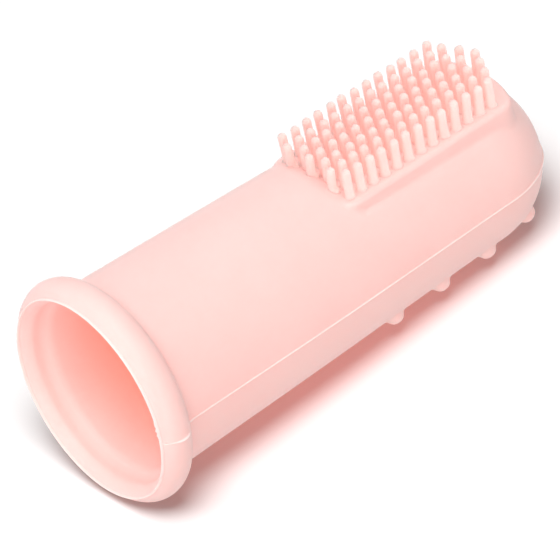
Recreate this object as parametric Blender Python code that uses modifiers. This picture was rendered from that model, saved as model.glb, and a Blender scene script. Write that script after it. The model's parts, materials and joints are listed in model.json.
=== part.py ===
"""Finger toothbrush: a silicone finger sleeve with a rolled mouth rim, a raised brush pad of soft
bristles near the domed tip, and small domed massage nubs on the underside.

Every length below is in millimetres. The object is laid out in its own frame (+X from the mouth
to the tip along the sleeve's axis, +Z towards the bristles), then set down on the floor: it rests
on the rim and on the last pair of nubs, so its tip end hangs a few degrees low.
"""

import math

import bmesh
import bpy
from mathutils import Matrix, Vector

MM = 0.001
COLLECTION = "finger_toothbrush"

# Sleeve: a tapered tube closed by a dome
MOUTH_RADIUS = 10.8        # outer radius the taper starts from, at the mouth plane
TAPER = 0.0394             # radius lost per millimetre of length
DOME_START = 47.6
DOME_LENGTH = 8.95
DOME_POWER = 2.08          # 2 is an ellipse; a little more is a fuller dome
WALL = 1.0
TIP_WALL = 1.4
BORE_END_POWER = 0.95      # a little under 1 makes the bore's closed end fuller than an ellipse
SLEEVE_START = 3.15        # the sleeve's end wall stops in the rim's rebate
SEGMENTS = 64

# Rolled rim round the mouth
RIM_X = 1.93
RIM_RADIUS = 10.59         # centre circle of the bead
BEAD_RADIUS = 1.957
LAND_INNER = 11.0          # flat land on the front of the bead
LAND_OUTER = 11.38
REBATE_FLOOR = 3.10
REBATE_RADIUS = 10.73
FUNNEL = ((3.10, 9.70), (2.90, 9.90), (2.45, 10.13), (2.00, 10.28), (1.50, 10.37),
          (1.10, 10.46), (0.75, 10.65), (0.40, 10.87))  # (x, radius) from its throat to the land

# Brush pad: a flat-topped platform set into the crown of the sleeve
PAD_START = 30.15
PAD_END = 53.85
PAD_HALF_WIDTH = 6.2
PAD_TOP = 8.0
PAD_END_ARC = 17.5         # radius of the bowed tip end
PAD_CORNER = 1.8
PAD_EDGE = 0.4
SEAT = 6.4                 # height of the flat cut into the sleeve for the pad
PAD_SINK = 1.8             # the pad's block starts this far under the seat and is trimmed to it
BORE_FLAT = SEAT - WALL    # the bore is flattened under the pad to keep the wall
FLAT_START = PAD_START - 0.25
FLAT_RAMP = 4.1            # length of the ramp up to the round bore
FLAT_SLOPE = 0.9
CLEARANCE = 0.05

# Bristles: seven lengthwise rows, staggered by half a pitch
PITCH = 1.559
ROW_SPACING = 1.6
FIRST_BRISTLE = 31.75
BRISTLE_RADIUS = 0.47
BRISTLE_TIP = 11.0         # height of the centre of each rounded tip
ROWS = ((0.0, 13), (-0.5, 14), (0.0, 14), (-0.5, 15), (0.0, 14), (-0.5, 14), (0.0, 13))
ROOT_RADIUS = 0.5          # root rod that a row flexes about
ROOT_GROOVE = 0.56
ROOT_OVERHANG = 0.48
STEM_SINK = 0.1            # the stems start this far inside the root rod

# Massage nubs: (angle from straight down, stations along the sleeve)
NUB_RADIUS = 0.95
NUB_HEIGHT = 0.8
NUB_SINK = 0.5
NUB_LINES = ((-42.0, (33.04, 39.35, 45.65, 51.6)), (-14.0, (36.2, 42.5, 48.8)),
             (14.0, (36.2, 42.5, 48.8)), (42.0, (33.04, 39.35, 45.65, 51.6)))

# Reach of the cutters: all of them end outside the object
CUT_START = 20.0           # ahead of the pad and the nubs
CUT_END = 60.0
CUT_HALF = 13.0

SILICONE = (0.93, 0.62, 0.57, 1.0)


def clear_scene():
    for obj in list(bpy.data.objects):
        bpy.data.objects.remove(obj, do_unlink=True)
    for block in (bpy.data.meshes, bpy.data.materials, bpy.data.collections):
        for item in list(block):
            block.remove(item)


def make_collection(name, hidden=False):
    collection = bpy.data.collections.new(name)
    bpy.context.scene.collection.children.link(collection)
    collection.hide_render = hidden
    return collection


def silicone(name):
    material = bpy.data.materials.new(name)
    material.use_nodes = True
    shader = material.node_tree.nodes["Principled BSDF"]
    shader.inputs["Base Color"].default_value = SILICONE
    shader.inputs["Roughness"].default_value = 0.45
    shader.inputs["Subsurface Weight"].default_value = 0.3
    shader.inputs["Subsurface Scale"].default_value = 0.003
    material.diffuse_color = SILICONE
    return material


def add_object(name, bm, collection, origin=(0.0, 0.0, 0.0)):
    """Makes an object of a bmesh in millimetres that is laid out about its own origin."""
    bmesh.ops.scale(bm, vec=Vector((MM, MM, MM)), verts=bm.verts)
    mesh = bpy.data.meshes.new(name)
    bm.to_mesh(mesh)
    bm.free()
    obj = bpy.data.objects.new(name, mesh)
    collection.objects.link(obj)
    obj.matrix_world = Matrix.Translation(Vector(origin) * MM)
    if collection.hide_render:
        obj.hide_render = True
        obj.display_type = "WIRE"
    else:
        mesh.materials.append(silicone(name))
    return obj


def boolean(obj, cutter, operation="DIFFERENCE"):
    modifier = obj.modifiers.new(cutter.name, "BOOLEAN")
    modifier.operation = operation
    modifier.solver = "EXACT"
    modifier.object = cutter


def turned(name, profile, collection, closed):
    """Turns a profile of (x, radius) points, from mouth to tip, about the X axis with a Screw."""
    bm = bmesh.new()
    points = [bm.verts.new((x, 0.0, radius)) for x, radius in reversed(profile)]
    for a, b in zip(points, points[1:] + points[:1] if closed else points[1:]):
        bm.edges.new((a, b))
    obj = add_object(name, bm, collection)
    screw = obj.modifiers.new("turn", "SCREW")
    screw.axis = "X"
    screw.steps = screw.render_steps = SEGMENTS
    screw.use_merge_vertices = True
    screw.merge_threshold = 1e-6
    screw.use_normal_calculate = False
    return obj


def extruded(outline, shift):
    """A solid between a flat outline of points and its copy moved by shift."""
    bm = bmesh.new()
    base = bm.faces.new([bm.verts.new(point) for point in outline])
    far = bmesh.ops.extrude_face_region(bm, geom=[base])["geom"]
    bmesh.ops.translate(bm, vec=shift, verts=[v for v in far if isinstance(v, bmesh.types.BMVert)])
    bmesh.ops.recalc_face_normals(bm, faces=bm.faces)
    return bm


def prism(outline, low, high):
    return extruded([(x, y, low) for x, y in outline], (0.0, 0.0, high - low))


def box(x0, x1, y0, y1, z0, z1):
    return prism(((x0, y0), (x1, y0), (x1, y1), (x0, y1)), z0, z1)


def spun(bm, profile, segments, centre):
    """Adds a skin turned from (radius, height) points about a vertical axis at centre."""
    verts = [bm.verts.new((centre[0] + r, centre[1], centre[2] + z)) for r, z in profile]
    edges = [bm.edges.new(pair) for pair in zip(verts, verts[1:])]
    bmesh.ops.spin(bm, geom=verts + edges, cent=centre, axis=(0, 0, 1),
                   angle=2 * math.pi, steps=segments, use_merge=True)


def close_up(bm):
    """Merges the points that turned skins share on their axes, and turns the faces outward."""
    bmesh.ops.remove_doubles(bm, verts=bm.verts, dist=1e-4)
    bmesh.ops.recalc_face_normals(bm, faces=bm.faces)


# ---------------------------------------------------------------- sleeve

def sleeve_radius(x):
    """Outer radius of the sleeve at a station along its axis."""
    if x <= DOME_START:
        return MOUTH_RADIUS - TAPER * x
    share = min((x - DOME_START) / DOME_LENGTH, 1.0)
    return (MOUTH_RADIUS - TAPER * DOME_START) * (1 - share ** DOME_POWER) ** (1 / DOME_POWER)


def sleeve_profile(start, offset=0.0, count=12):
    """Outer profile from the axis at the mouth end, round to the axis at the tip."""
    end = DOME_START + DOME_LENGTH
    points = [(start, 0.0)]
    points += [(x, sleeve_radius(x) + offset) for x in (start, DOME_START)]
    for i in range(1, count):
        turn = 0.5 * math.pi * i / count
        x = DOME_START + DOME_LENGTH * math.sin(turn)
        points.append((x + offset * math.sin(turn), sleeve_radius(x) + offset * math.cos(turn)))
    return points + [(end + offset, 0.0)]


def bore_profile(count=9):
    radius = MOUTH_RADIUS - WALL
    length = DOME_LENGTH - TIP_WALL
    points = [(SLEEVE_START - 1.0, 0.0)]
    points += [(x, radius - TAPER * x) for x in (SLEEVE_START - 1.0, DOME_START)]
    for i in range(1, count):
        turn = 0.5 * math.pi * i / count
        points.append((DOME_START + length * math.sin(turn),
                       (radius - TAPER * DOME_START) * math.cos(turn) ** BORE_END_POWER))
    return points + [(DOME_START + length, 0.0)]


def build_sleeve(parts, cutters):
    sleeve = turned("finger_sleeve", sleeve_profile(SLEEVE_START), parts, closed=False)

    bore = turned("cut_bore", bore_profile(), cutters, closed=False)
    ramp_start = FLAT_START - FLAT_RAMP
    side = ((ramp_start, BORE_FLAT + FLAT_SLOPE * FLAT_RAMP), (FLAT_START, BORE_FLAT),
            (CUT_END, BORE_FLAT), (CUT_END, CUT_HALF), (ramp_start, CUT_HALF))
    flat = extruded([(x, -CUT_HALF, z) for x, z in side], (0.0, 2 * CUT_HALF, 0.0))
    boolean(bore, add_object("cut_bore_flat", flat, cutters))
    boolean(sleeve, bore)

    pocket = prism(pad_outline(CLEARANCE), SEAT, CUT_HALF)
    boolean(sleeve, add_object("cut_pad_pocket", pocket, cutters))
    return sleeve


# ---------------------------------------------------------------- rim

def build_rim(parts):
    land = ((0.0, LAND_INNER), (0.0, LAND_OUTER))
    bead = []
    for degrees in range(28, 169, 10):
        turn = math.radians(degrees)
        bead.append((RIM_X - BEAD_RADIUS * math.cos(turn), RIM_RADIUS + BEAD_RADIUS * math.sin(turn)))
    rebate = ((bead[-1][0], REBATE_RADIUS), (REBATE_FLOOR, REBATE_RADIUS))
    return turned("mouth_rim", [*land, *bead, *rebate, *FUNNEL], parts, closed=True)


# ---------------------------------------------------------------- brush pad

def pad_outline(grow=0.0, corner_steps=5, end_steps=8):
    """Pad outline seen from above: straight sides, rounded corners and a bowed tip end."""
    start, width = PAD_START - grow, PAD_HALF_WIDTH + grow
    arc, corner = PAD_END_ARC + grow, PAD_CORNER + grow
    centre = PAD_END - PAD_END_ARC
    corner_y = width - corner
    corner_x = centre + math.sqrt((arc - corner) ** 2 - corner_y ** 2)
    lean = math.atan2(corner_y, corner_x - centre)
    half = [(start, width)]
    for i in range(corner_steps + 1):
        turn = 0.5 * math.pi + (lean - 0.5 * math.pi) * i / corner_steps
        half.append((corner_x + corner * math.cos(turn), corner_y + corner * math.sin(turn)))
    for i in range(1, end_steps // 2):
        turn = lean * (1 - 2 * i / end_steps)
        half.append((centre + arc * math.cos(turn), arc * math.sin(turn)))
    return half + [(centre + arc, 0.0)] + [(x, -y) for x, y in reversed(half)]


def build_pad(parts, cutters):
    bm = prism(pad_outline(), SEAT - PAD_SINK, PAD_TOP)
    rounded = [e for e in bm.edges
               if all(v.co.z > PAD_TOP - 0.01 for v in e.verts)
               and not all(v.co.x < PAD_START + 0.01 for v in e.verts)]
    bmesh.ops.bevel(bm, geom=rounded, offset=PAD_EDGE, segments=3, profile=0.5, affect="EDGES")
    pad = add_object("brush_pad", bm, parts)

    bed = turned("cut_pad_bed", sleeve_profile(CUT_START, CLEARANCE), cutters, closed=False)
    above = box(CUT_START - 1.0, CUT_END, -CUT_HALF, CUT_HALF, SEAT + CLEARANCE, CUT_HALF)
    boolean(bed, add_object("cut_pad_bed_top", above, cutters))
    boolean(pad, bed)

    grooves = bmesh.new()
    for row in range(len(ROWS)):
        first, last, y = row_span(row)
        reach = ROOT_OVERHANG + CLEARANCE
        rod(grooves, first - reach, last + reach, y, PAD_TOP, ROOT_GROOVE)
    boolean(pad, add_object("cut_root_grooves", grooves, cutters))
    return pad


# ---------------------------------------------------------------- bristles

def row_span(row):
    """Stations of a row's first and last bristle, and the row's place across the pad."""
    offset, count = ROWS[row]
    first = FIRST_BRISTLE + offset * PITCH
    return first, first + (count - 1) * PITCH, ROW_SPACING * (3 - row)


def rod(bm, start, end, y, z, radius, sides=12):
    made = bmesh.ops.create_cone(bm, cap_ends=True, segments=sides, radius1=radius, radius2=radius,
                                 depth=end - start)
    turn = Matrix.Rotation(0.5 * math.pi, 4, "Y") @ Matrix.Rotation(math.pi / sides, 4, "Z")
    bmesh.ops.transform(bm, verts=made["verts"],
                        matrix=Matrix.Translation(((start + end) / 2, y, z)) @ turn)


def build_bristle_row(row, parts, cutters):
    """One row: a root rod lying in the pad's groove and the row's bristles standing on it."""
    first, last, y = row_span(row)
    root = bmesh.new()
    rod(root, -ROOT_OVERHANG, last - first + ROOT_OVERHANG, 0.0, 0.0, ROOT_RADIUS)
    bristle_row = add_object(f"bristle_row_{row + 1}", root, parts, (first, y, PAD_TOP))

    height = BRISTLE_TIP - PAD_TOP
    profile = [(0.0, -STEM_SINK), (BRISTLE_RADIUS, -STEM_SINK), (BRISTLE_RADIUS, height)]
    for turn in (math.radians(35), math.radians(65)):
        profile.append((BRISTLE_RADIUS * math.cos(turn), height + BRISTLE_RADIUS * math.sin(turn)))
    profile.append((0.0, height + BRISTLE_RADIUS))
    stems = bmesh.new()
    for i in range(ROWS[row][1]):
        spun(stems, profile, 10, (i * PITCH, 0.0, 0.0))
    close_up(stems)
    stem_set = add_object(f"add_stems_{row + 1}", stems, cutters, (first, y, PAD_TOP))
    boolean(bristle_row, stem_set, "UNION")
    return bristle_row


# ---------------------------------------------------------------- nubs

def build_nubs(parts, cutters):
    bed = turned("cut_nub_bed", sleeve_profile(CUT_START, CLEARANCE), cutters, closed=False)
    nubs = []
    for degrees, stations in NUB_LINES:
        for x in stations:
            slope = (sleeve_radius(x + 0.01) - sleeve_radius(x - 0.01)) / 0.02
            turn = math.radians(degrees)
            outward = Vector((0.0, math.sin(turn), -math.cos(turn)))
            normal = (outward - Vector((slope, 0.0, 0.0))).normalized()
            foot = Vector((x, 0.0, 0.0)) + outward * sleeve_radius(x)
            bm = bmesh.new()
            profile = [(0.0, -NUB_SINK), (NUB_RADIUS, -NUB_SINK), (NUB_RADIUS, 0.0)]
            for lift in (25, 50, 72):
                rise = math.radians(lift)
                profile.append((NUB_RADIUS * math.cos(rise), NUB_HEIGHT * math.sin(rise)))
            profile.append((0.0, NUB_HEIGHT))
            spun(bm, profile, 14, (0.0, 0.0, 0.0))
            close_up(bm)
            nub = add_object(f"massage_nub_{len(nubs) + 1:02d}", bm, parts)
            spin = Vector((0, 0, 1)).rotation_difference(normal).to_matrix().to_4x4()
            nub.matrix_world = Matrix.Translation(foot * MM) @ spin
            boolean(nub, bed)
            nubs.append(nub)
    return nubs


# ---------------------------------------------------------------- resting attitude

def rest_tilt():
    """Angle the tip end hangs by when the rim and the last inner pair of nubs touch the floor."""
    x = NUB_LINES[1][1][-1]
    drop = (sleeve_radius(x) + NUB_HEIGHT) * math.cos(math.radians(NUB_LINES[1][0]))
    tilt = 0.0
    for _ in range(30):
        rim = RIM_RADIUS * math.cos(tilt) + RIM_X * math.sin(tilt) + BEAD_RADIUS
        nub = drop * math.cos(tilt) + x * math.sin(tilt)
        tilt += (rim - nub) / x
    return tilt


def set_down(parts):
    """Turns everything to the resting attitude, with the origin at the bottom centre of the box."""
    turn = Matrix.Rotation(rest_tilt(), 4, "Y")
    everything = list(bpy.data.objects)
    for obj in everything:
        obj.matrix_world = turn @ obj.matrix_world
    bpy.context.view_layer.update()
    graph = bpy.context.evaluated_depsgraph_get()
    low, high = Vector((1e9,) * 3), Vector((-1e9,) * 3)
    for obj in parts.objects:
        solid = obj.evaluated_get(graph)
        mesh = solid.to_mesh()
        for vert in mesh.vertices:
            place = solid.matrix_world @ vert.co
            low = Vector(map(min, low, place))
            high = Vector(map(max, high, place))
        solid.to_mesh_clear()
    shift = Matrix.Translation((-(low.x + high.x) / 2, -(low.y + high.y) / 2, -low.z))
    for obj in everything:
        obj.matrix_world = shift @ obj.matrix_world
    bpy.context.view_layer.update()


def main():
    clear_scene()
    parts = make_collection(COLLECTION)
    cutters = make_collection("cutters", hidden=True)
    build_sleeve(parts, cutters)
    build_rim(parts)
    build_pad(parts, cutters)
    for row in range(len(ROWS)):
        build_bristle_row(row, parts, cutters)
    build_nubs(parts, cutters)
    set_down(parts)


main()
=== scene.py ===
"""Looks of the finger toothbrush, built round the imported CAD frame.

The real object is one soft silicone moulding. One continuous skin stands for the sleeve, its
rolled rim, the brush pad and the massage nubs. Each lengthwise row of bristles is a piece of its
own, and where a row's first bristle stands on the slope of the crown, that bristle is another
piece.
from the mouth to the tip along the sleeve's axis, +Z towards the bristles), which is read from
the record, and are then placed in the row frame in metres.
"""

import json
import math
import random

import bmesh
import bpy
import numpy as np
from mathutils import Matrix, Vector

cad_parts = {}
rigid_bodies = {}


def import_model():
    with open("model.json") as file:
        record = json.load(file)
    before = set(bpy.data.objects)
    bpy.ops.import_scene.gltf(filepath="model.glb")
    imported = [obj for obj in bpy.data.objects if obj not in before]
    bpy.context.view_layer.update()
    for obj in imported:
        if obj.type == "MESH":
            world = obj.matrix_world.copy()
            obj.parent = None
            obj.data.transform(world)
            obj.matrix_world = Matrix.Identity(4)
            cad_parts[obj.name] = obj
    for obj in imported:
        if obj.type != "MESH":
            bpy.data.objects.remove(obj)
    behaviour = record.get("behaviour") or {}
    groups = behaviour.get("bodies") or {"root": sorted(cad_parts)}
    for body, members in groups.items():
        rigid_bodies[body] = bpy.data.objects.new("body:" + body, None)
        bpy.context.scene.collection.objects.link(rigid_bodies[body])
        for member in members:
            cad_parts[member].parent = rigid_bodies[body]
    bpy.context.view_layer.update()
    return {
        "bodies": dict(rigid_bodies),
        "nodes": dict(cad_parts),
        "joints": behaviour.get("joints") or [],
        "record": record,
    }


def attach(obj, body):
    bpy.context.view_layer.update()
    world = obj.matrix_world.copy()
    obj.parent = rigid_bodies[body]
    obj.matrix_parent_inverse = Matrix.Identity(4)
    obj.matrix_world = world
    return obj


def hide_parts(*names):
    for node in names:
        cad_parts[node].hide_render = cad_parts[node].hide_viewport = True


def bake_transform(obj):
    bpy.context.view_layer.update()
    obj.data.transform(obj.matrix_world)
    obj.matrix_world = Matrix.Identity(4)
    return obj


MM = 0.001

# Sleeve
MOUTH_RADIUS = 10.8
TAPER = 0.0394
DOME_START = 47.6
DOME_LENGTH = 8.95
DOME_POWER = 2.08
KINK = 0.8                 # length over which the taper eases into the dome
WALL = 1.0
TIP_WALL = 1.4
BORE_END_POWER = 0.95      # how full the bore's closed end is

# Rolled rim, from its crease behind the bead, round the front and into the bore
RIM_X = 1.93
RIM_RADIUS = 10.59
BEAD_RADIUS = 1.957
CREASE = 0.5               # fillet between the bead and the sleeve
BEAD_STEPS = 30
BEAD_FRONT = 155.0         # where the bead meets the flash ring, in degrees from straight back
CREASE_STEPS = 6
# (x, radius) over the thin raised ring of flash on the bead's front, and then down the funnel
FLASH_RING = ((0.115, 11.385), (0.02, 11.37), (-0.12, 11.35), (-0.17, 11.30), (-0.12, 11.25),
              (0.02, 11.23), (0.12, 11.20))
FUNNEL = ((0.22, 11.10), (0.45, 10.88), (0.80, 10.62), (1.20, 10.42), (1.60, 10.36),
          (2.00, 10.30), (2.45, 10.14), (2.90, 9.93), (3.40, 9.78), (4.00, 9.71))
LAND = 11.19               # the mouth mount's distance below the axis
# Torn bits of the flash ring: degrees from the top, and how far each stands out
RAGGED = ((-78.5, 0.06), (-81.4, 0.12), (-84.2, 0.09), (96.0, 0.07))
RAGGED_SPAN = 0.8          # in degrees
RAGGED_DEPTH = 0.15        # they fade out over this depth behind the ring

# Parting line of the two mould halves
PARTING = -0.52
FLASH_HEIGHT = 0.20
FLASH_WIDTH = 0.07
BEAD_FLASH = 1.5           # it stands this much prouder over the bead
FLASH_HIGHLIGHT_SPAN = 0.35          # degrees either side of it whose faces are painted paler, a painted highlight on the thin flash
PARTING_FADE = 4.0         # down the funnel, the rings' centre moves from it to the axis

# The mouth is slightly oval, which fades along the sleeve
OVAL = 0.0247
OVAL_TURN = math.radians(23.9)
OVAL_FADE = 28.0

# Brush pad
PAD_START = 30.15
PAD_END = 53.8
PAD_HALF_WIDTH = 6.2
PAD_TOP = 8.0
PAD_END_ARC = 12.5
PAD_CORNER = 1.1
PAD_BACK_CORNER = 0.8      # at its end towards the mouth, inside the crown
PAD_EDGE = 0.5
PAD_BOTTOM = 2.0
PAD_FOOT = 0.3             # fillet at the foot of the pad's walls
CROWN_FOOT = 31.9          # the sleeve's crown slopes down to the pad's top here
CROWN_SLOPE = Vector((1.15, 0.0, 0.95)).normalized()
CROWN_EDGE = 1.3
CROWN_BED = 1.0            # the crown is cut this far below the pad's top, inside the pad
CROWN_INSET = 0.3
BORE_FLAT = 5.4
BORE_FLAT_START = 29.9
BORE_RAMP = 0.9
BORE_BLEND = 0.8

# Bristles
PITCH = 1.559
ROW_SPACING = 1.6
FIRST_BRISTLE = 31.75
BRISTLE_RADIUS = 0.47
BRISTLE_TIP = 11.0
# Each row: its start, in pitches from the first bristle, and its count
ROWS = ((0.0, 13), (-0.5, 14), (0.0, 14), (-0.5, 15), (0.0, 14), (-0.5, 14), (0.0, 13))
ROW_MIDDLE = 6.5           # middle of the rows, in pitches from the first bristle
ROOT_DEPTH = 0.4
LEAN_ALONG = 0.06          # how much further the tips spread along a row, each 10 mm
LEAN_ACROSS = -0.12        # the tips of the middle row stand this far to one side of its roots
ROW_SPLAY = 0.04           # neighbouring rows' tips stand this much further apart than their roots
LEAN_SPREAD = 0.06         # spread of the lean of single bristles
BRISTLE_SIDES = 16
# (height, how much wider than the tip) up a bristle's flared foot
FLARE = ((-ROOT_DEPTH, 0.30), (0.0, 0.20), (0.06, 0.12), (0.16, 0.055), (0.34, 0.02))
STEM_TAPER = 0.02          # how much wider the stem is above its foot than at the tip
TIP_SPREAD = 0.03          # spread of the bristles' lengths
CROWN_RISE = 0.3           # a bristle that stands this far above the pad's top is on the crown

# Massage nubs: degrees from straight down, and stations along the sleeve
NUB_RADIUS = 0.95
NUB_HEIGHT = 0.8
NUB_FOOT = 0.35
NUB_LINES = ((14.0, (36.2, 42.5, 48.8)), (42.0, (33.04, 39.35, 45.65, 51.6)))

# Grid of the skin
FLASH_RINGS = 13           # rings of the flash ring, painted paler as a highlight
INSIDE_RINGS = 24          # rings of flash ring and funnel that come before the bore's material
FAN_CENTRE = 46.0          # from here on, rays fan out towards the tip
CREASE_END = 4.7           # the last ring of the sleeve before the fillet behind the bead
RAY_START = 16.0
RAY_STEPS = 160
RAY_SHARE = 0.75           # share of the distance that a ray goes in one step
RAY_CLOSE = 2e-5


# ---------------------------------------------------------------- shape of the outer skin

def sleeve_radius(x):
    """Outer radius of the sleeve before the dome closes it, easing to a constant at the dome."""
    past = (x - DOME_START) / KINK
    return MOUTH_RADIUS - TAPER * (x - KINK * np.logaddexp(0.0, past))


def sleeve_distance(p):
    """Signed distance to the tapered sleeve and its domed tip."""
    around = np.hypot(p[:, 1], p[:, 2])
    radius = sleeve_radius(p[:, 0])
    s = np.maximum(p[:, 0] - DOME_START, 0.0) / DOME_LENGTH
    t = np.maximum(around / radius, 1e-6)
    size = (s ** DOME_POWER + t ** DOME_POWER) ** (1 / DOME_POWER)
    slope = np.hypot((s / size) ** (DOME_POWER - 1) / DOME_LENGTH,
                     (t / size) ** (DOME_POWER - 1) / radius)
    return (size - 1.0) / slope


def meet(a, b, radius):
    """Where two solids overlap, with the edge between them rounded."""
    return (np.minimum(np.maximum(a, b), -radius)
            + np.hypot(np.maximum(a + radius, 0.0), np.maximum(b + radius, 0.0)))


def join(a, b, radius):
    """Two solids as one, with a fillet between them."""
    return (np.maximum(np.minimum(a, b), radius)
            - np.hypot(np.maximum(radius - a, 0.0), np.maximum(radius - b, 0.0)))


def pad_distance(p):
    """The brush pad: straight sides, a bowed end at the tip and a flat top."""
    across = np.abs(p[:, 1]) - PAD_HALF_WIDTH
    tip_end = np.hypot(p[:, 0] - (PAD_END - PAD_END_ARC), p[:, 1]) - PAD_END_ARC
    plan = meet(meet(across, tip_end, PAD_CORNER), PAD_START - p[:, 0], PAD_BACK_CORNER)
    return np.maximum(meet(plan, p[:, 2] - PAD_TOP, PAD_EDGE), PAD_BOTTOM - p[:, 2])


def crown_distance(p):
    """The sleeve with its crown cut away over the pad, down a short slope."""
    slope = -((p[:, 0] - CROWN_FOOT) * CROWN_SLOPE.x + (p[:, 2] - PAD_TOP) * CROWN_SLOPE.z)
    bed = np.maximum(np.maximum(slope, PAD_TOP - CROWN_BED - p[:, 2]),
                     np.abs(p[:, 1]) - PAD_HALF_WIDTH + CROWN_INSET)
    return meet(sleeve_distance(p), -bed, CROWN_EDGE)


def closed_radius(x):
    """Outer radius of the sleeve at one station, with the dome closing it."""
    share = max((x - DOME_START) / DOME_LENGTH, 0.0)
    return sleeve_radius(np.array(x)) * (1 - share ** DOME_POWER) ** (1 / DOME_POWER)


def nub_frames():
    """Foot and outward direction of each nub on the +Y side."""
    nudge = 0.01
    for degrees, stations in NUB_LINES:
        turn = math.radians(degrees)
        out = Vector((0.0, math.sin(turn), -math.cos(turn)))
        for x in stations:
            slope = (closed_radius(x + nudge) - closed_radius(x - nudge)) / (2 * nudge)
            normal = (out - Vector((slope, 0.0, 0.0))).normalized()
            yield Vector((x, 0.0, 0.0)) + out * float(closed_radius(x)), normal


NUBS = list(nub_frames())


def nub_distance(p):
    """The nearest nub, as an ellipsoid; the nubs are mirrored across the object's middle plane."""
    folded = np.column_stack((p[:, 0], np.abs(p[:, 1]), p[:, 2]))
    nearest = np.full(len(p), 1e3)
    for foot, normal in NUBS:
        rel = folded - np.array(foot)
        height = rel @ np.array(normal)
        width = np.sqrt(np.maximum((rel ** 2).sum(1) - height ** 2, 0.0))
        k0 = np.hypot(width / NUB_RADIUS, height / NUB_HEIGHT)
        k1 = np.hypot(width / NUB_RADIUS ** 2, height / NUB_HEIGHT ** 2)
        nearest = np.minimum(nearest, k0 * (k0 - 1.0) / np.maximum(k1, 1e-9))
    return nearest


def outer_distance(p):
    """The whole outer skin from the tip to behind the bead."""
    whole = join(crown_distance(p), pad_distance(p), PAD_FOOT)
    return join(whole, nub_distance(p), NUB_FOOT)


def first_hit(origins, directions, start):
    """Distance along each ray at which it meets the outer skin, coming in from outside."""
    along = np.full(len(origins), start)
    active = np.arange(len(origins))
    for _ in range(RAY_STEPS):
        gap = outer_distance(origins[active] + directions[active] * along[active, None])
        along[active] -= RAY_SHARE * gap
        active = active[np.abs(gap) > RAY_CLOSE]
        if not len(active):
            break
    return along


# ---------------------------------------------------------------- grid of the skin

def spread(*zones):
    """Values that run through zones of (start, end, step), each end shared with the next start."""
    values = []
    for start, end, step in zones:
        count = max(1, round((end - start) / step))
        values += [start + (end - start) * i / count for i in range(count)]
    return values


def angles_around():
    """Angles from the top, both ways round, closest at the pad's edges, nubs and parting line."""
    half = spread((0, 31, 2.4), (31, 41.5, 0.5), (41.5, 52, 0.8), (52, 78, 2.4), (78, 88.6, 0.7),
                  (88.6, 91.4, 0.2), (91.4, 94, 0.9), (94, 127, 2.4), (127, 144.5, 1.15),
                  (144.5, 157, 2.2), (157, 173.5, 1.15), (173.5, 180, 2.1))
    half.append(180.0)
    return np.radians(half + [-a for a in reversed(half[1:-1])])


def smooth_line(points, rounds):
    """The line with its corners cut, its ends kept."""
    for _ in range(rounds):
        cut = [points[0]]
        for (ax, ar), (bx, br) in zip(points, points[1:]):
            cut += [(0.75 * ax + 0.25 * bx, 0.75 * ar + 0.25 * br),
                    (0.25 * ax + 0.75 * bx, 0.25 * ar + 0.75 * br)]
        points = cut + [points[-1]]
    return points


def crease_fillet():
    """Centre of the small fillet behind the bead, touching the bead and the sleeve."""
    reach = BEAD_RADIUS + CREASE
    x = RIM_X + reach
    for _ in range(20):
        r = MOUTH_RADIUS - TAPER * x + CREASE * math.hypot(1.0, TAPER)
        x = RIM_X + math.sqrt(reach ** 2 - (r - RIM_RADIUS) ** 2)
    return x, r


def rim_line():
    """(x, radius) from the sleeve behind the bead, round the bead and into the bore."""
    cx, cr = crease_fillet()
    low = -0.5 * math.pi - math.atan(TAPER)
    high = math.atan2(RIM_RADIUS - cr, RIM_X - cx)
    turns = [low + (high - low) * i / CREASE_STEPS for i in range(CREASE_STEPS + 1)]
    fillet = [(cx + CREASE * math.cos(turn), cr + CREASE * math.sin(turn)) for turn in turns]
    start = math.atan2(cr - RIM_RADIUS, cx - RIM_X)
    end = math.radians(BEAD_FRONT)
    bead = []
    for i in range(1, BEAD_STEPS + 1):
        turn = start + (end - start) * i / BEAD_STEPS
        bead.append((RIM_X + BEAD_RADIUS * math.cos(turn),
                     RIM_RADIUS + BEAD_RADIUS * math.sin(turn)))
    return fillet + bead, smooth_line(list(FLASH_RING), 1) + smooth_line(list(FUNNEL), 2)


def ring_at(x, radius, angles, centre):
    """Points of a circle about the axis, met by rays from a point a little off the axis."""
    dz, dy = np.cos(angles), np.sin(angles)
    along = -centre * dz + np.sqrt((centre * dz) ** 2 - centre ** 2 + radius ** 2)
    return np.column_stack((np.zeros(len(angles)) + x, along * dy, centre + along * dz))


def flash(z):
    """How far the parting line stands out of the skin at a height."""
    return FLASH_HEIGHT * np.exp(-((z - PARTING) / FLASH_WIDTH) ** 2)


def outer_rings(angles):
    """Rings of the outer skin from the tip to behind the bead; the first is the pole."""
    fan = spread((90, 56, -2.2), (56, 28, -0.6), (28, 0, -1.2))
    stations = spread((FAN_CENTRE, 32.2, -0.2), (32.2, 29.4, -0.1), (29.4, CREASE_END, -1.0))
    stations.append(CREASE_END)
    out = np.column_stack((np.zeros(len(angles)), np.sin(angles), np.cos(angles)))
    origins, directions = [], []
    for lift in fan:
        turn = math.radians(lift)
        direction = out * math.cos(turn) + np.array((math.sin(turn), 0.0, 0.0))
        origins.append(np.tile((FAN_CENTRE, 0.0, PARTING), (len(angles), 1)))
        directions.append(direction)
    for x in stations:
        origins.append(np.tile((x, 0.0, PARTING), (len(angles), 1)))
        directions.append(out)
    origins, directions = np.concatenate(origins), np.concatenate(directions)
    hits = origins + directions * first_hit(origins, directions, RAY_START)[:, None]
    hits += directions * flash(hits[:, 2])[:, None]
    return list(hits.reshape(-1, len(angles), 3))


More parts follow.
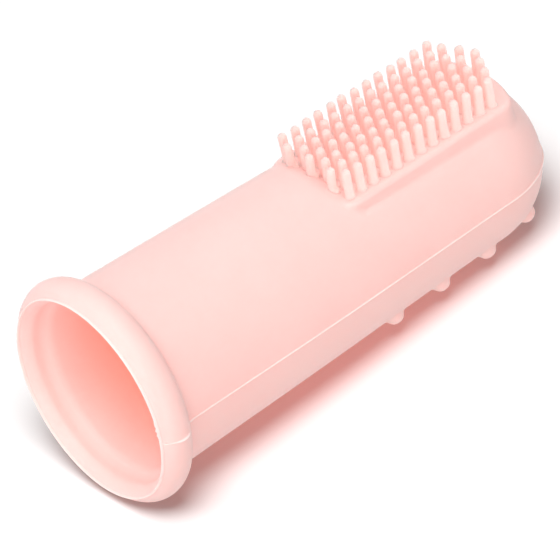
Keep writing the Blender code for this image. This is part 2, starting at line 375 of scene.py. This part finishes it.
def rim_rings(angles):
    """Rings of fillet, bead with the parting line over it, flash ring and funnel."""
    outside, inside = rim_line()
    rings = []
    for i, (x, r) in enumerate(outside):
        ahead, behind = outside[min(i + 1, len(outside) - 1)], outside[max(i - 1, 0)]
        tangent = Vector((ahead[0] - behind[0], ahead[1] - behind[1])).normalized()
        ring = ring_at(x, r, angles, PARTING)
        lift = BEAD_FLASH * flash(ring[:, 2])
        outward = ring[:, 1:] / np.hypot(ring[:, 1], ring[:, 2])[:, None]
        ring[:, 0] -= tangent.y * lift
        ring[:, 1:] += outward * (tangent.x * -lift)[:, None]
        rings.append(ring)
    torn = sum(size * np.exp(-((np.degrees(angles) - at) / RAGGED_SPAN) ** 2)
               for at, size in RAGGED)
    for x, r in inside:
        loose = torn * max(0.0, 1.0 - max(x, 0.0) / RAGGED_DEPTH)
        centre = PARTING * min(max(0.0, 1.0 - x / PARTING_FADE), 1.0)
        rings.append(ring_at(x - loose, r - loose, angles, centre))
    return rings


def bore_rings(angles):
    """Rings of the finger bore from the funnel to the closed end; it is flat under the pad."""
    rings = []
    length = DOME_LENGTH - TIP_WALL
    line = [(x, MOUTH_RADIUS - WALL - TAPER * x)
            for x in spread((5.0, 25.0, 1.7), (25.0, 31.0, 0.6), (31.0, DOME_START, 2.0))]
    end = MOUTH_RADIUS - WALL - TAPER * DOME_START
    line += [(DOME_START + length * math.sin(t), end * math.cos(t) ** BORE_END_POWER)
             for t in np.radians(spread((0, 89, 7.5)))]
    for x, r in line:
        flat = BORE_FLAT + BORE_RAMP * max(BORE_FLAT_START - x, 0.0)
        up = np.maximum(np.cos(angles), 1e-3)
        reach = np.full(len(angles), r)
        under = flat / up
        blend = np.clip(0.5 + 0.5 * (reach - under) / BORE_BLEND, 0.0, 1.0)
        reach = reach * (1 - blend) + under * blend - BORE_BLEND * blend * (1 - blend)
        reach = np.where(np.cos(angles) > 0, np.minimum(reach, r), r)
        rings.append(np.column_stack((np.full(len(angles), x), reach * np.sin(angles),
                                      reach * np.cos(angles))))
    return rings


def settle(points):
    """The slight oval of the mouth."""
    fade = np.clip(points[:, 0] / OVAL_FADE, 0.0, 1.0)
    amount = OVAL * (1 - fade * fade * (3 - 2 * fade))
    ca, sa = math.cos(OVAL_TURN), math.sin(OVAL_TURN)
    wide = (points[:, 1] * ca + points[:, 2] * sa) * (1 - amount)
    tall = (points[:, 2] * ca - points[:, 1] * sa) * (1 + amount)
    return np.column_stack((points[:, 0], wide * ca - tall * sa, wide * sa + tall * ca))


def skin_mesh(name, to_frame):
    """The whole skin as one closed mesh; faces are marked as skin, bore with its painted glow (1)
    or flash painted paler as a highlight (2).
    """
    angles = angles_around()
    outer = outer_rings(angles)
    rings = outer[1:] + rim_rings(angles) + bore_rings(angles)
    tip = outer[0].mean(0)
    end = np.array((DOME_START + DOME_LENGTH - TIP_WALL, 0.0, 0.0))
    points = settle(np.vstack([tip[None], *rings, end[None]]))
    around, last = len(angles), 1 + len(rings) * len(angles)
    faces = [(0, 1 + j, 1 + (j + 1) % around) for j in range(around)]
    for i in range(len(rings) - 1):
        a, b = 1 + i * around, 1 + (i + 1) * around
        faces += [(a + j, b + j, b + (j + 1) % around, a + (j + 1) % around)
                  for j in range(around)]
    a = last - around
    faces += [(a + j, last, a + (j + 1) % around) for j in range(around)]
    skin = mesh_object(name, points, faces, to_frame)
    front = len(outer) + len(rim_line()[0])
    for face in skin.data.polygons[around * (front + INSIDE_RINGS):]:
        face.material_index = 1
    # The flash ring and a narrow band along the parting line take the paler material, a painted
    # highlight.
    off = np.abs(np.abs(np.degrees((angles + np.roll(angles, -1)) / 2)) - 90.0)
    highlit_faces = np.tile(off < FLASH_HIGHLIGHT_SPAN, front)
    for face in skin.data.polygons[:around * (front + FLASH_RINGS)]:
        if face.index >= around * front or highlit_faces[face.index]:
            face.material_index = 2
    return skin


def mesh_object(name, points, faces, to_frame):
    """A smooth mesh of points in the object's own millimetres, placed in the row frame."""
    mesh = bpy.data.meshes.new(name)
    placed = points * MM @ np.array(to_frame.to_3x3()).T + np.array(to_frame.translation)
    mesh.from_pydata(placed.tolist(), [], faces)
    mesh.validate()
    obj = bpy.data.objects.new(name, mesh)
    bpy.context.scene.collection.objects.link(obj)
    bm = bmesh.new()
    bm.from_mesh(mesh)
    bmesh.ops.recalc_face_normals(bm, faces=bm.faces)
    bm.to_mesh(mesh)
    bm.free()
    mesh.shade_smooth()
    return obj


# ---------------------------------------------------------------- bristles

def skin_height(x, y):
    """Height of the outer skin over a point of the plan, found from above."""
    origins = np.array([(x, y, 0.0)])
    return float(first_hit(origins, np.array([(0.0, 0.0, 1.0)]), RAY_START)[0])


def stem(root, tip):
    """Points and faces of one bristle: a flared root, a slightly tapered stem and a round tip."""
    sides = BRISTLE_SIDES
    length = tip[2] - root[2]
    profile = [(h, BRISTLE_RADIUS + grow) for h, grow in FLARE]
    profile += [(length * share, BRISTLE_RADIUS + STEM_TAPER * (1 - share))
                for share in (0.25, 0.45, 0.65, 0.85)]
    profile.append((length, BRISTLE_RADIUS))
    cap = [(length + BRISTLE_RADIUS * math.sin(t), BRISTLE_RADIUS * math.cos(t))
           for t in np.radians((18, 36, 54, 70, 82))]
    points = []
    for h, r in profile + cap:
        share = min(max(h / length, 0.0), 1.0)
        cx = root[0] + (tip[0] - root[0]) * share
        cy = root[1] + (tip[1] - root[1]) * share
        for j in range(sides):
            turn = 2 * math.pi * j / sides
            points.append((cx + r * math.cos(turn), cy + r * math.sin(turn), root[2] + h))
    points.append((root[0], root[1], root[2] - ROOT_DEPTH))
    points.append((tip[0], tip[1], tip[2] + BRISTLE_RADIUS))
    count = len(profile) + len(cap)
    base, top = count * sides, count * sides + 1
    faces = [(base, (j + 1) % sides, j) for j in range(sides)]
    for i in range(count - 1):
        a, b = i * sides, (i + 1) * sides
        faces += [(a + j, a + (j + 1) % sides, b + (j + 1) % sides, b + j) for j in range(sides)]
    a = (count - 1) * sides
    faces += [(a + j, a + (j + 1) % sides, top) for j in range(sides)]
    return points, faces


def bristle_rows(to_frame, material):
    """A piece for each row's bristles on the pad, and one for its first if on the crown."""
    chance = random.Random(11)
    middle = FIRST_BRISTLE + ROW_MIDDLE * PITCH
    made = []
    for row, (offset, count) in enumerate(ROWS):
        body = f"bristle_row_{row + 1}"
        out = len(ROWS) // 2 - row
        y = ROW_SPACING * out
        groups = {}
        for i in range(count):
            x = FIRST_BRISTLE + (offset + i) * PITCH
            height = skin_height(x, y)
            kind = "crown" if height > PAD_TOP + CROWN_RISE else "pad"
            lean_x = LEAN_ALONG * (x - middle) / 10 + chance.gauss(0.0, LEAN_SPREAD)
            lean_y = LEAN_ACROSS + ROW_SPLAY * out + chance.gauss(0.0, LEAN_SPREAD)
            tip = (x + lean_x, y + lean_y, BRISTLE_TIP + chance.gauss(0.0, TIP_SPREAD))
            groups.setdefault(kind, []).append(((x, y, height), tip))
        for kind, stems in groups.items():
            points, faces = [], []
            for root, tip in stems:
                p, f = stem(root, tip)
                faces += [tuple(v + len(points) for v in face) for face in f]
                points += p
            name = f"{body}_bristles" if kind == "pad" else f"{body}_crown_bristle"
            obj = mesh_object(name, np.array(points), faces, to_frame)
            obj.data.materials.append(material)
            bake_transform(obj)
            if kind == "pad":
                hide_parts(body)
            made.append(obj)
    return made


# ---------------------------------------------------------------- silicone

PINK = (0.985, 0.635, 0.60)
PINK_DEEP = (0.98, 0.62, 0.585)
SCATTER = (0.0005, 0.0004, 0.0004)
# Flash ring and parting line: paler colours, a painted highlight for the light that the thin flash
# catches.
FLASH_HIGHLIGHT_PINK = (0.99, 0.72, 0.685)
FLASH_HIGHLIGHT_DEEP = (0.985, 0.70, 0.665)
PALE = (0.995, 0.725, 0.685)           # the bristles
PALE_DEEP = (0.99, 0.705, 0.665)
BRISTLE_SCATTER = (0.0004, 0.0003, 0.0003)
# Bore: a deeper pink painted inwards, a painted glow for the light that comes through the walls.
PAINTED_BORE_GLOW = (0.995, 0.54, 0.46)
BORE_NEAR = -0.0255        # painted glow: the wall's colour deepens from here into the bore, for light through the walls, in the row frame
BORE_FAR = -0.016
CLOUDS = 160.0             # scales of the noises in colour, roughness and bump
SMEARS = 700.0
GRAIN = 5200.0
MATTE = (0.46, 0.58)       # roughness
GRAIN_STRENGTH = 0.12
GRAIN_HEIGHT = 0.00003
SILICONE_IOR = 1.41


def silicone(name, light, deep, scatter):
    """Soft translucent silicone with slight variation in colour and roughness and a fine grain."""
    material = bpy.data.materials.new(name)
    material.use_nodes = True
    nodes, links = material.node_tree.nodes, material.node_tree.links
    shader = nodes["Principled BSDF"]
    place = nodes.new("ShaderNodeTexCoord")

    def noise(scale, detail):
        texture = nodes.new("ShaderNodeTexNoise")
        texture.inputs["Scale"].default_value = scale
        texture.inputs["Detail"].default_value = detail
        links.new(place.outputs["Object"], texture.inputs["Vector"])
        return texture.outputs["Fac"]

    tint = nodes.new("ShaderNodeValToRGB")
    tint.color_ramp.elements[0].position = 0.35
    tint.color_ramp.elements[0].color = (*deep, 1.0)
    tint.color_ramp.elements[1].position = 0.65
    tint.color_ramp.elements[1].color = (*light, 1.0)
    links.new(noise(CLOUDS, 3.0), tint.inputs["Fac"])
    links.new(tint.outputs["Color"], shader.inputs["Base Color"])

    matte = nodes.new("ShaderNodeMapRange")
    matte.inputs["To Min"].default_value, matte.inputs["To Max"].default_value = MATTE
    links.new(noise(SMEARS, 4.0), matte.inputs["Value"])
    links.new(matte.outputs["Result"], shader.inputs["Roughness"])

    grain = nodes.new("ShaderNodeBump")
    grain.inputs["Strength"].default_value = GRAIN_STRENGTH
    grain.inputs["Distance"].default_value = GRAIN_HEIGHT
    links.new(noise(GRAIN, 5.0), grain.inputs["Height"])
    links.new(grain.outputs["Normal"], shader.inputs["Normal"])

    shader.inputs["IOR"].default_value = SILICONE_IOR
    shader.inputs["Subsurface Weight"].default_value = 1.0
    shader.inputs["Subsurface Radius"].default_value = scatter
    shader.inputs["Subsurface Scale"].default_value = 1.0
    return material


def paint_bore_glow(material):
    """Paints the light that comes through the walls into the bore's colour, deeper the further in.
    """
    nodes, links = material.node_tree.nodes, material.node_tree.links
    shader = nodes["Principled BSDF"]
    tint = shader.inputs["Base Color"].links[0].from_socket
    split = nodes.new("ShaderNodeSeparateXYZ")
    links.new(nodes["Texture Coordinate"].outputs["Object"], split.inputs["Vector"])
    depth = nodes.new("ShaderNodeMapRange")
    depth.interpolation_type = "SMOOTHSTEP"
    depth.inputs["From Min"].default_value = BORE_NEAR
    depth.inputs["From Max"].default_value = BORE_FAR
    links.new(split.outputs["X"], depth.inputs["Value"])
    mix = nodes.new("ShaderNodeMix")
    mix.data_type = "RGBA"
    mix.inputs["B"].default_value = (*PAINTED_BORE_GLOW, 1.0)
    links.new(depth.outputs["Result"], mix.inputs["Factor"])
    links.new(tint, mix.inputs["A"])
    links.new(mix.outputs["Result"], shader.inputs["Base Color"])


# ---------------------------------------------------------------- surroundings

CAMERA_AIM = Vector((-0.00756, -0.00751, 0.01744))
CAMERA_DISTANCE = 1.4796
CAMERA_TURN = 59.77        # degrees from +X towards +Y that the camera looks
CAMERA_ELEVATION = 38.02
CAMERA_ROLL = -16.29
CAMERA_LENS = 964.3

WORLD_STRENGTH = 0.62
FLOOR_GREY = 0.4
FLOOR_REACH = 4.0

# Soft lights round the object. The fills and the glow stand for light that comes through the
# silicone. Each: name, direction it comes from, distance, size, watts, colour, what it lights,
# and what throws its shadows ("" for everything).
WHITE = (1.0, 1.0, 1.0)
STUDIO_LIGHTS = (
    ("key", (-0.38, -0.2, 1.0), 0.9, 0.7, 3.2, WHITE, "skin floor", "skin floor"),
    ("dome", (-0.38, -0.33, 0.87), 0.9, 2.6, 7.3, WHITE, "skin bristles", "skin"),
    ("bristle_fill", (-0.45, -0.75, 0.5), 0.9, 1.0, 1.2, (1.0, 0.84, 0.8), "bristles", "skin"),
    ("bristle_back_fill", (0.85, -0.3, 0.35), 0.9, 1.0, 3.2, (1.0, 0.84, 0.8), "bristles", "skin"),
    ("side_fill", (-0.55, -0.78, -0.1), 0.9, 1.0, 3.0, (1.0, 0.72, 0.68), "skin bristles", "skin"),
    ("tip_fill", (0.86, -0.5, 0.2), 0.9, 0.8, 0.4, (1.0, 0.25, 0.2), "skin", "skin"),
)
FLOOR_WASH = ("floor_wash", (-0.235, -0.385, 0.89), 0.9, 0.45, 16.5, WHITE, "floor", "")
FLOOR_GLOW = ("glow_through_silicone", (0.0, 0.0, 1.0), 0.012, 0.05, 0.0038, (1.0, 0.18, 0.13),
              "floor", "floor")
FLOOR_GLOW_WIDTH = 0.016   # it is long and narrow, like the sleeve above it

MOUTH_LAMP_WATTS = 0.062
MOUTH_LAMP_WAY = (-0.9, -0.3, 0.3)
MOUTH_LAMP_DISTANCE = 0.07
MOUTH_LAMP_CONE = 19.0
MOUTH_LAMP_FADE = 0.6
MOUTH_LAMP_SIZE = 0.008
BORE_GLOW_WATTS = 0.0012
BORE_GLOW_TINT = (1.0, 0.1, 0.04)
BORE_GLOW_SIZE = 0.003
BORE_GLOW_PLACE = Vector((12.0, 0.0, 0.0))


def make_camera():
    """A long lens from the photograph's direction."""
    data = bpy.data.cameras.new("photo_camera")
    data.sensor_width = 36.0
    data.lens = CAMERA_LENS
    data.clip_start, data.clip_end = 0.05, 50.0
    camera = bpy.data.objects.new("photo_camera", data)
    bpy.context.scene.collection.objects.link(camera)
    turn, lift = math.radians(CAMERA_TURN), math.radians(CAMERA_ELEVATION)
    look = Vector((math.cos(turn) * math.cos(lift), math.sin(turn) * math.cos(lift),
                   -math.sin(lift)))
    roll = Matrix.Rotation(math.radians(CAMERA_ROLL), 3, "Z").to_quaternion()
    camera.rotation_mode = "QUATERNION"
    camera.rotation_quaternion = look.to_track_quat("-Z", "Y") @ roll
    camera.location = CAMERA_AIM - look * CAMERA_DISTANCE
    bpy.context.scene.camera = camera


def gather(name, objects):
    collection = bpy.data.collections.new(name)
    for obj in objects:
        collection.objects.link(obj)
    return collection


def place_light(name, kind, watts, tint, target, way, distance):
    """A light of its kind at a distance from its target, turned to face it."""
    data = bpy.data.lights.new(name, kind)
    data.energy = watts
    data.color = tint
    light = bpy.data.objects.new(name, data)
    bpy.context.scene.collection.objects.link(light)
    away = Vector(way).normalized()
    light.location = target + away * distance
    light.rotation_mode = "QUATERNION"
    light.rotation_quaternion = (-away).to_track_quat("-Z", "Y")
    light.visible_camera = False
    return light


def area_light(things, name, way, distance, size, watts, tint, lit, stops):
    """A disk light aimed at the floor under the object, linked to what it lights and shadows."""
    light = place_light(name, "AREA", watts, tint, Vector(), way, distance)
    light.data.shape = "DISK"
    light.data.size = size
    light.light_linking.receiver_collection = gather(
        f"lit_by_{name}", [obj for kind in lit.split() for obj in things[kind]])
    if stops:
        light.light_linking.blocker_collection = gather(
            f"stops_{name}", [obj for kind in stops.split() for obj in things[kind]])
    return light


def mouth_lamp(mouth, skin):
    """A small soft lamp that shines into the bore from the camera's side of the mouth."""
    lamp = place_light("mouth_lamp", "SPOT", MOUTH_LAMP_WATTS, WHITE, mouth, MOUTH_LAMP_WAY,
                       MOUTH_LAMP_DISTANCE)
    lamp.data.spot_size = math.radians(MOUTH_LAMP_CONE)
    lamp.data.spot_blend = MOUTH_LAMP_FADE
    lamp.data.shadow_soft_size = MOUTH_LAMP_SIZE
    lamp.light_linking.receiver_collection = gather("lit_by_mouth_lamp", [skin])


def bore_glow(inside, skin):
    """The light that the translucent walls let through into the bore."""
    glow = place_light("bore_glow", "POINT", BORE_GLOW_WATTS, BORE_GLOW_TINT, inside,
                       (0.0, 0.0, 1.0), 0.0)
    glow.data.shadow_soft_size = BORE_GLOW_SIZE
    glow.light_linking.receiver_collection = gather("lit_by_bore_glow", [skin])


def make_world():
    world = bpy.data.worlds.new("studio")
    world.use_nodes = True
    sky = world.node_tree.nodes["Background"]
    sky.inputs["Color"].default_value = (*WHITE, 1.0)
    sky.inputs["Strength"].default_value = WORLD_STRENGTH
    bpy.context.scene.world = world
    bpy.context.scene.view_settings.view_transform = "Standard"


def make_floor(height):
    """A pale floor that throws no light or shadow on the object from below."""
    bm = bmesh.new()
    bmesh.ops.create_grid(bm, x_segments=8, y_segments=8, size=FLOOR_REACH)
    mesh = bpy.data.meshes.new("floor")
    bm.to_mesh(mesh)
    bm.free()
    floor = bpy.data.objects.new("floor", mesh)
    floor.location.z = height
    floor.visible_diffuse = False
    floor.visible_shadow = False
    bpy.context.scene.collection.objects.link(floor)
    paper = bpy.data.materials.new("pale_floor")
    paper.use_nodes = True
    shader = paper.node_tree.nodes["Principled BSDF"]
    shader.inputs["Base Color"].default_value = (FLOOR_GREY, FLOOR_GREY, FLOOR_GREY, 1.0)
    shader.inputs["Roughness"].default_value = 0.9
    mesh.materials.append(paper)
    return floor


def make_surroundings(floor_height, mouth, inside, skin, bristles):
    """World, floor and lights; mouth and inside are where the mouth's lamp and glow belong."""
    make_world()
    things = {"skin": [skin], "floor": [make_floor(floor_height)], "bristles": bristles}
    for light in STUDIO_LIGHTS:
        area_light(things, *light)
    mouth_lamp(mouth, skin)
    bore_glow(inside, skin)
    area_light(things, *FLOOR_WASH)
    glow = area_light(things, *FLOOR_GLOW)
    glow.data.shape = "ELLIPSE"
    glow.data.size_y = FLOOR_GLOW_WIDTH


# ---------------------------------------------------------------- putting it together

def object_frame(record):
    """The object's own frame: its axes and the centre of its mouth, from the mouth mount."""
    mouth = next(m for m in record["mounts"] if m["name"] == "mouth_face")
    along = -Vector(mouth["axis"])
    side = Vector((0.0, 1.0, 0.0))
    up = along.cross(side)
    frame = Matrix((along, side, up)).transposed().to_4x4()
    frame.translation = Vector(mouth["pos_m"]) + up * LAND * MM
    return frame


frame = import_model()
to_frame = object_frame(frame["record"])
skin_silicone = silicone("silicone", PINK, PINK_DEEP, SCATTER)
# The bore's material gets a painted glow that deepens inwards.
bore_painted_glow_silicone = silicone("bore_painted_glow_silicone", PINK, PINK_DEEP, SCATTER)
paint_bore_glow(bore_painted_glow_silicone)
bristle_silicone = silicone("bristle_silicone", PALE, PALE_DEEP, BRISTLE_SCATTER)

skin = skin_mesh("silicone_skin", to_frame)
skin.data.materials.append(skin_silicone)
skin.data.materials.append(bore_painted_glow_silicone)
# The third material paints the flash paler, a painted highlight.
skin.data.materials.append(silicone("flash_highlight_silicone", FLASH_HIGHLIGHT_PINK, FLASH_HIGHLIGHT_DEEP, SCATTER))
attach(skin, "body")
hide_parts(*frame["record"]["behaviour"]["bodies"]["body"])

bristles = bristle_rows(to_frame, bristle_silicone)

make_camera()
lowest = min(v.co.z for v in skin.data.vertices)
make_surroundings(lowest, to_frame.translation, to_frame @ (BORE_GLOW_PLACE * MM), skin, bristles)
